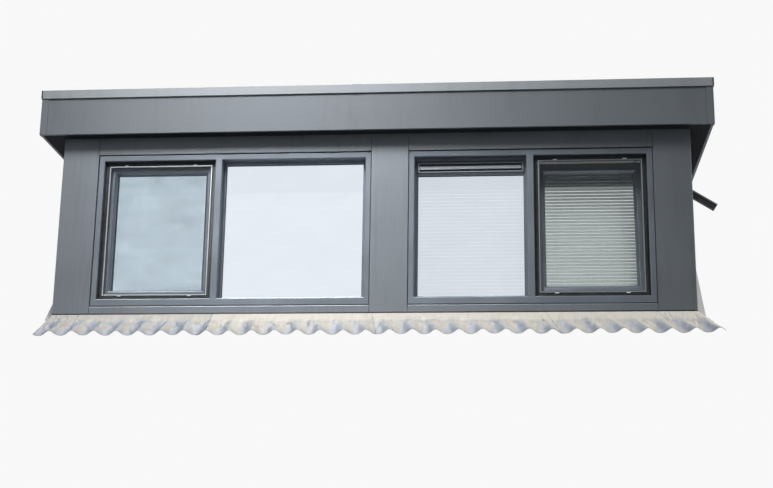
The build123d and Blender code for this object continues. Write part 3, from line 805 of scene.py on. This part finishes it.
def panes(rubber):
    """Double panes with their spacers and gaskets."""
    tint = colours().glass[:]
    # each pane's tint is partly the painted colour of the mirrored sky
    coated = mirror_glass("Coated float glass", 0.95, tint)
    coated_left = mirror_glass("Coated float glass, painted cloud reflection", 0.93, linear("#cbdde9"), 0.16)
    coated_blind = mirror_glass("Coated float glass over a blind", 0.8, tint)
    coated_thin = mirror_glass("Thinly coated float glass", 0.24, linear("#dbe6e2"))
    clear = clear_glass()
    spacer = stove_enamel("Warm-edge spacer", linear("#8d9398"), 0.45)
    # each (node, opening, pane's edge, depth behind the frame's front, height of the grille, stand, coat)
    units = (
        ("left_sash_glass", LEFT_SASH_X, SASH_EDGE, 100 * MM, 0, straight, coated_left),
        ("left_fixed_glass", LEFT_FIXED_X, BEAD_EDGE, 80 * MM, 0, straight, coated),
        ("right_fixed_glass", RIGHT_FIXED_X, BEAD_EDGE, 80 * MM, 98.6 * MM, straight, coated_blind),
        ("right_sash_glass", RIGHT_SASH_X, SASH_EDGE, 100 * MM, 0, tilted, coated_thin),
    )
    frame_front = WALL_FRONT + 8 * MM
    pane_depth, lip_depth, bite = 24 * MM, 4 * MM, 0.3 * MM
    for node, (left, right), edge, depth, grille, stand, coat in units:
        x0, x1 = left + edge, right - edge
        z0, z1 = SILL + edge, OPENING_TOP - edge - grille
        y0 = frame_front + depth
        unit = box_shell((x0, y0, z0), (x1, y0 + pane_depth, z1))
        name = node.replace("glass", "pane")
        # the coat is on the front alone, face 2 of the box
        made = piece(name, stand(unit), clear, (node,), 0, second=(coat, (2,)))
        arris = made.modifiers.new("arris", "BEVEL")
        arris.width, arris.segments = 0.6 * MM, 1
        # the spacer stands between the panes, a little inside their edge
        bar = rounded_outline(13.5 * MM, 16 * MM, 1 * MM) + (-13.8 * MM, y0 + 4 * MM)
        piece(name + "_spacer", stand(mitred(bar, x0, x1, z0, z1)), spacer)
        # lips of the front and back gaskets: a round nose that bites a little into the pane
        lip = rounded_outline(5 * MM, lip_depth, 1.8 * MM) + (-14.5 * MM, y0)
        front = mitred(lip + (0, bite - lip_depth), x0, x1, z0, z1)
        back = mitred(lip + (0, pane_depth - bite), x0, x1, z0, z1)
        piece(name + "_gasket", stand(joined(front, back)), rubber)


def ventilation_grille():
    """The grille over the right fixed pane, with its louvre and bead."""
    anodised = coated_aluminium("Anodised grille", linear("#565e68"), 0.35, 0.6)
    finish_node("trickle_vent", anodised, 0.8 * MM)
    bright = coated_aluminium("Bare anodised louvre", linear("#b2b8be"), 0.6, 0.15)
    low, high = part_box("trickle_vent")
    # the slot of the grille
    x0, x1, z0, z1, y0 = low[0] + 9 * MM, high[0] - 9 * MM, high[2] - 74 * MM, high[2] - 20 * MM, low[1]
    # the louvre in it is an arched strip, 19 mm high and 2.6 mm thick, whose top leans back by 2.4 mm
    t = np.linspace(-1, 1, 9)
    bulge = 1.2 * MM * t - 1.1 * MM * (1 - t**2)
    front = np.stack([y0 + 2.6 * MM + bulge, z1 - 25 * MM + 9.5 * MM * t], axis=1)
    section = np.concatenate([front, front[::-1] + (2.6 * MM, 0)])
    blade = bar_along_x(section, x0 + 9 * MM, x1 - 9 * MM)
    bead = rounded_outline(6.5 * MM, 5 * MM, 1.5 * MM) + (0, y0 - 4.4 * MM)
    piece("trickle_vent_louvre", blade, bright)
    piece("trickle_vent_bead", mitred(bead, x0, x1, z0, z1), bright)


def wall_profiles(rubber):
    """The black strip at the foot of the cladding, a painted shadow line, and the corner profiles with their
    painted highlight.
    """
    # black strip along the foot of the wall panels, which draws the dark line where they meet the lead as
    # painted shadow
    foot = rounded_outline(11 * MM, 9 * MM, 1 * MM, 2) + (WALL_FRONT - 2.5 * MM, WALL_FOOT - 2 * MM)
    piece("cladding_foot_shadow_strip", bar_along_x(foot, LEFT_WALL, RIGHT_WALL), rubber)
    # rounded profiles over the two corners of the wall, coated lighter than the panels as a painted highlight
    # along the corners
    corner = coated_aluminium("Corner profile, lighter as a painted highlight", linear("#8f969c"), 0.4, 0.4)
    for side, x in (("left", LEFT_WALL - 1.2 * MM), ("right", RIGHT_WALL - 2.8 * MM)):
        bead = rounded_outline(4 * MM, 4 * MM, 1.9 * MM) + (x, WALL_FRONT - 1.2 * MM)
        bar = bar_along_z(bead, WALL_FOOT, WALL_TOP)
        piece(side + "_corner_profile", bar, corner)


def frame_seals(rubber):
    """Black seals in the joints between the frames and the cladding."""
    for unit in ("left", "right"):
        low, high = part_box(unit + "_window_frame")
        ring = rounded_outline(1.9 * MM, 9 * MM, 0.5 * MM, 2) + (0, WALL_FRONT + 7 * MM)
        edge = [mitred(ring, low[0], high[0], low[2], high[2])]
        for z_strip in (low[2] - 4.9 * MM, high[2] + 0.1 * MM):
            strip = rounded_outline(9 * MM, 4.8 * MM, 1 * MM, 2) + (WALL_FRONT + 7 * MM, z_strip)
            edge.append(bar_along_x(strip, low[0], high[0]))
        piece(unit + "_frame_seal", joined(*edge), rubber)


class DORMER_OT_windows(Operator):
    """Frames, sashes, panes, the ventilation grille, seals, and round the cladding a painted shadow strip and
    painted-highlight corner profiles
    """

    bl_idname = "dormer.windows"
    bl_label = "Windows"

    def execute(self, context):
        profile = foiled_profile()
        for name in ("left_window_frame", "right_window_frame", "left_sash", "right_sash"):
            finish_node(name, profile, 1.5 * MM)
        rubber = gasket_rubber()
        panes(rubber)
        ventilation_grille()
        wall_profiles(rubber)
        frame_seals(rubber)
        return {"FINISHED"}


class DORMER_OT_screens(Operator):
    """Insect screens in front of both sashes"""

    bl_idname = "dormer.screens"
    bl_label = "Insect screens"

    def execute(self, context):
        profile = stove_enamel("Anthracite screen profile", linear("#3f464d"), 0.4)
        # both screens have the same anodised rim; the right one is written darker and duller as painted shade
        rims = {
            "left": coated_aluminium("Bright anodised screen rim", linear("#b4bcc1"), 0.42, 0.5),
            "right": coated_aluminium("Anodised screen rim, darkened as painted shade", linear("#878e94"), 0.5, 0.3),
        }
        white = moulded_plastic("White clip plastic", linear("#f4f4f2"), 0.3)
        seal = gasket_rubber()
        net = insect_mesh()
        clip_share, clip_width, clip_height = 0.165, 26 * MM, 7 * MM
        for side in ("left", "right"):
            node = side + "_insect_screen"
            low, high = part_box(node)
            x0, x1, z0, z1 = low[0], high[0], low[2] + clip_height, high[2] - clip_height
            y0, y1 = low[1] + 3 * MM, high[1]
            bar = rounded_outline(12 * MM, y1 - y0 - 1 * MM, 1.5 * MM) + (-12 * MM, y0 + 1 * MM)
            piece(node + "_frame", mitred(bar, x0, x1, z0, z1), profile, (node,))
            edge = rounded_outline(8 * MM, 3 * MM, 1 * MM) + (-8 * MM, y0)
            piece(node + "_rim", mitred(edge, x0, x1, z0, z1), rims[side])
            # a black brush seal 26.5 mm wide fills the gap round the screen's frame; its black across the
            # whole gap is partly painted shade of that deep gap
            brush = rounded_outline(26.5 * MM, 5 * MM, 1 * MM, 2) + (0.5 * MM, y1 - 5.3 * MM)
            piece(node + "_brush_seal_and_shade", mitred(brush, x0, x1, z0, z1), seal)
            inset, y_net = 11 * MM, y0 + 5 * MM
            cloth = box_shell((x0 + inset, y_net, z0 + inset), (x1 - inset, y_net + 0.1 * MM, z1 - inset))
            piece(node + "_net", cloth, net, (), 0)
            clips = []
            for share in (clip_share, 1 - clip_share):
                middle = x0 + (x1 - x0) * share
                for foot in (z0 - clip_height + 1 * MM, z1 - 1 * MM):
                    near = (middle - clip_width / 2, low[1], foot)
                    far = (middle + clip_width / 2, y1, foot + clip_height)
                    clips.append(box_shell(near, far))
            made = piece(node + "_clips", joined(*clips), white)
            edge = made.modifiers.new("edge", "BEVEL")
            edge.width, edge.segments = 2 * MM, 3
        return {"FINISHED"}


class DORMER_OT_blinds(Operator):
    """Venetian blinds behind the right fixed pane and on the tilted sash"""

    bl_idname = "dormer.blinds"
    bl_label = "Blinds"

    def execute(self, context):
        enamel = stove_enamel("Stove-enamelled slats", colours().blind[:])
        rail = stove_enamel("Enamelled blind rail", linear("#c8cdcf"), 0.3)
        cord = braided_cord()
        # each (node, opening, edge left free, y behind which it hangs, lower and upper end, stand)
        places = (
            ("right_fixed_blind", RIGHT_FIXED_X, 5 * MM, 0.0463, 0.113, 1.1437, straight),
            (
                "right_sash_blind", RIGHT_SASH_X, SASH_EDGE, SASH_BACK + 0.3 * MM,
                SILL + SASH_EDGE, OPENING_TOP - 47 * MM, tilted,
            ),
        )
        for node, (left, right), edge, y_back, z0, z1, stand in places:
            x0, x1 = left + edge, right - edge
            piece(node + "_slats", stand(slats(x0, x1, y_back, z0, z1)), enamel, (node,), 30)
            head = rounded_outline(25 * MM, 26 * MM, 3 * MM) + (y_back, z1 - 26 * MM)
            foot = rounded_outline(17 * MM, 13 * MM, 4 * MM) + (y_back + 4 * MM, z0)
            rails = joined(bar_along_x(head, x0, x1), bar_along_x(foot, x0, x1))
            piece(node + "_rails", stand(rails), rail)
            piece(node + "_cords", stand(ladders(x0, x1, y_back, z0, z1)), cord)
        return {"FINISHED"}


class DORMER_OT_fittings(Operator):
    """Window handles, stay, hinges and the rain spout"""

    bl_idname = "dormer.fittings"
    bl_label = "Fittings"

    def execute(self, context):
        coat = coated_aluminium("Powder-coated fittings", linear("#d4d6d6"), 0.35, 0.3)
        finish_node("window_fittings", coat, 2.0 * MM)
        finish_node("rain_spout", moulded_plastic("Black polypropylene", linear("#1f2225"), 0.24, 0.9))
        return {"FINISHED"}


# Laps of the lead beyond the wall at its lower edge, and the knee where it leaves the flat upper strip
LEFT_LAP, RIGHT_LAP, KNEE = 80 * MM, 158 * MM, 76 * MM

# Creases at the two ends and beside the laps, in millimetres: x, down, x, down, width, depth
CREASES = (
    (-2105, 6, -2060, 60, 5, -4.0), (-2075, 4, -2085, 90, 5, 3.0), (-2030, 8, -1990, 70, 6, -4.0),
    (-1985, 4, -2005, 100, 5, 3.4), (-1950, 6, -1925, 62, 5, -3.6), (-1915, 4, -1945, 84, 6, 3.0),
    (-1880, 10, -1860, 50, 5, -2.4),
    (-12, 0, -8, 52, 3, -4.0), (30, 4, 18, 70, 5, 2.6), (70, 58, 150, 74, 5, -2.6),
    (1820, 6, 1850, 66, 5, 2.6), (1862, 2, 1915, 84, 5, -5.0), (1905, 4, 1935, 78, 6, 4.2),
    (1930, 8, 1955, 96, 5, -4.4), (1990, 4, 1975, 88, 6, 3.8), (2020, 6, 2010, 74, 5, -3.6),
    (2050, 4, 2065, 92, 6, 4.0), (2088, 6, 2110, 70, 4, -5.0), (2104, 4, 2160, 92, 6, 3.0),
)


def tile_wave(x, share):
    """Height of the lead over the tiles per unit of wave height, trough first. At wave n it is
    -sin(2 pi n) / 2 - 0.08 cos(4 pi n), which makes the troughs broad and the crests narrow.

    The waves fan out from the foot of the wall to the lower edge, where share is 1."""
    left, right = LEFT_WALL - share * LEFT_LAP, RIGHT_WALL + share * RIGHT_LAP
    count = round((RIGHT_WALL - LEFT_WALL + LEFT_LAP + RIGHT_LAP) / sizes().wave_pitch)
    turn = 2 * np.pi * count * (x - left) / (right - left)
    return -0.5 * np.sin(turn) - 0.08 * np.cos(2 * turn)


def dents(x, down, seed, count, size, depth):
    """Marks of the dressing tool: a sum of long Gaussian hollows and swellings with fixed random places."""
    random = np.random.default_rng(seed)
    px = random.uniform(x.min(), x.max(), count)
    pd = random.uniform(0.0, sizes().apron_length, count)
    radius = random.uniform(0.6, 1.5, count) * size
    high = random.normal(0.0, depth, count)
    turn = random.uniform(0, np.pi, count)
    total = np.zeros_like(x)
    for i in range(count):
        dx, dd = x - px[i], down - pd[i]
        along = (dx * np.cos(turn[i]) + dd * np.sin(turn[i])) / (2.2 * radius[i])
        across = (dd * np.cos(turn[i]) - dx * np.sin(turn[i])) / radius[i]
        near = np.abs(dx) < 6 * radius[i]
        total[near] += high[i] * np.exp(-(along**2 + across**2))[near]
    return total


def folds(x, down, lines):
    """Creases along straight lines (x0, down0, x1, down1, width, depth): each falls off with the distance
    to its line as exp(-(distance / width)^2)."""
    total = np.zeros_like(x)
    for x0, down0, x1, down1, width, depth in lines:
        run, drop = x1 - x0, down1 - down0
        share = np.clip(((x - x0) * run + (down - down0) * drop) / (run**2 + drop**2), 0, 1)
        distance = np.hypot(x - x0 - share * run, down - down0 - share * drop)
        total += depth * np.exp(-((distance / width) ** 2))
    return total


def lead_sheet(low, high, seed, columns=440, rows=50):
    """One length of the lead apron between two places along the wall: x, distance down the slope and height.

    The waves grow from nothing to 5 mm at the knee, and from there to their full height as the 0.9th power.
    The plane under them starts 1.5 mm down and falls by 6.5 mm to the knee and by 15.4 mm to the lower edge.
    That edge wanders a little, and its crests are drawn up by 7 mm. Dents and creases are added."""
    length, knee_wave = sizes().apron_length, 5 * MM
    share = np.linspace(0, 1, rows)[:, None]
    knee = KNEE / length
    at = np.linspace(low, high, columns)[None, :]
    left, right = LEFT_WALL - share * LEFT_LAP, RIGHT_WALL + share * RIGHT_LAP
    x = left + (right - left) * (at - LEFT_WALL) / (RIGHT_WALL - LEFT_WALL)
    wave = tile_wave(x, share)
    wander = 2.2 * MM * (1 + np.sin(x * 9.1)) + 1.2 * MM * (1 + np.sin(x * 23.7 + 1.2)) + 0.8 * MM
    down = share * length - (wander + 7 * MM * (wave + 0.42)) * share**4
    beyond = np.clip((share - knee) / (1 - knee), 0, 1)
    full = knee_wave + (sizes().wave_height - knee_wave) * beyond**0.9
    rise = np.where(share < knee, knee_wave * share / knee, full)
    plane = np.interp(share, (0, knee, 1), (0, -6.5 * MM, -15.4 * MM)) - 1.5 * MM
    up = plane + rise * wave
    # the dents fade towards both edges and are deepest a little below the middle
    soft = np.minimum(1, share * 5) * np.clip((1 - share) * 8, 0.35, 1)
    middle = np.exp(-(((share - 0.55) / 0.3) ** 2))
    lines = [tuple(value * MM for value in crease) for crease in CREASES]
    fold = folds(x, down, lines)
    up = up + fold * np.minimum(1, share * 8) * np.clip((1 - share) * 6, 0, 1)
    up = up + dents(x, down, seed, 90, 26 * MM, 3 * MM) * soft * (0.25 + 0.75 * middle)
    up = up + dents(x, down, seed + 50, 420, 11 * MM, 2.2 * MM) * soft * (0.15 + 0.85 * middle)
    return x, down, up, share, fold, at


class DORMER_OT_lead(Operator):
    """Lead apron and cheek flashings"""

    bl_idname = "dormer.lead"
    bl_label = "Lead"

    def execute(self, context):
        lead = milled_lead("Milled lead", 0.0)
        finish_node("cheek_lead", milled_lead("Milled lead flashing", 0.55))
        sheet, lap, plate = sizes().lead_sheet, 55 * MM, WALL_FRONT + 16.5 * MM
        # where the four lengths meet, as in the photo
        ends = (LEFT_WALL, -1.035, 0.022, 1.150, RIGHT_WALL)
        for number, (low, high) in enumerate(zip(ends, ends[1:])):
            first = low - (lap if number else 0)
            x, down, up, share, fold, at = lead_sheet(first, high, 7 + number)
            tilt = np.gradient(up, axis=1) / np.gradient(x, axis=1)
            # each length tucks under the one on its left
            under = np.clip((low + 12 * MM - at) / (20 * MM), 0, 1) if number else 0 * at
            up = up - 2.6 * MM * under * np.minimum(1, share * 12 + 0.2)
            y = WALL_FRONT - down * math.cos(SLOPE) - up * math.sin(SLOPE)
            z = WALL_FOOT - down * math.sin(SLOPE) + up * math.cos(SLOPE)
            # the level is highest on the flat upper strip and falls downwards; along the laps it is lowered
            # into a thin dark line, a painted shadow of the lap edge
            edge = np.exp(-(((high - at) / (4 * MM)) ** 2)) + np.exp(-(((at - low) / (5 * MM)) ** 2))
            bloom = np.interp(share, (0, 0.05, 0.34, 0.42, 0.55, 1), (0.55, 0.95, 0.86, 0.6, 0.66, 0.42))
            # painted light and shade: what falls to the left is drawn dull and bluish and what falls to the
            # right paler, as lit from the right; creases are paler where they rise and duller where they sink
            flank_shading = np.clip((share - 0.2) / 0.2, 0.25, 1) * np.clip((1.05 - share) / 0.25, 0.4, 1)
            bloom = bloom - 0.34 * flank_shading * np.tanh(tilt / 0.5) + 20 * fold - 0.5 * edge
            bloom = bloom - (0.3 - 0.2 * share if number == 0 else 0)
            # the first row stands twice more, back under the cladding and down the sole plate
            twice = [0, 0, *range(len(x))]
            x, y, z, bloom = x[twice], y[twice], z[twice], bloom[twice]
            y[:2], z[0], z[1] = plate, 1.5 * MM, WALL_FOOT - 1.5 * MM
            points = np.stack([x, y, z], axis=-1).reshape(-1, 3)
            made = piece(
                f"dressed_lead_sheet_{number + 1}", (points, grid_faces(*x.shape)), lead,
                ("lead_apron",), 180, {"bloom": bloom},
            )
            wall = made.modifiers.new("sheet", "SOLIDIFY")
            wall.thickness, wall.offset = sheet, 0
        return {"FINISHED"}


OPERATORS = (
    DORMER_OT_stage,
    DORMER_OT_structure,
    DORMER_OT_cladding,
    DORMER_OT_roof,
    DORMER_OT_windows,
    DORMER_OT_screens,
    DORMER_OT_blinds,
    DORMER_OT_fittings,
    DORMER_OT_lead,
)


class DORMER_PT_sidebar(Panel):
    """Sizes, colours and building steps of the dormer"""

    bl_idname = "DORMER_PT_sidebar"
    bl_label = "Dormer window"
    bl_space_type = "VIEW_3D"
    bl_region_type = "UI"
    bl_category = "Dormer"

    def draw(self, context):
        for group in (context.scene.dormer_sizes, context.scene.dormer_colours):
            for key in group.__annotations__:
                self.layout.prop(group, key)
        for operator in OPERATORS:
            self.layout.operator(operator.bl_idname)


CLASSES = (DormerSizes, DormerColours, *OPERATORS, DORMER_PT_sidebar)


def register():
    for cls in CLASSES:
        bpy.utils.register_class(cls)
    bpy.types.Scene.dormer_sizes = PointerProperty(type=DormerSizes)
    bpy.types.Scene.dormer_colours = PointerProperty(type=DormerColours)


def unregister():
    del bpy.types.Scene.dormer_colours
    del bpy.types.Scene.dormer_sizes
    for cls in reversed(CLASSES):
        bpy.utils.unregister_class(cls)


def main():
    register()
    bpy.context.scene.view_settings.view_transform = "Standard"
    bpy.ops.dormer.stage()
    bpy.ops.dormer.structure()
    bpy.ops.dormer.cladding()
    bpy.ops.dormer.roof()
    bpy.ops.dormer.windows()
    bpy.ops.dormer.screens()
    bpy.ops.dormer.blinds()
    bpy.ops.dormer.fittings()
    bpy.ops.dormer.lead()
    bpy.context.view_layer.update()


if __name__ == "__main__":
    main()
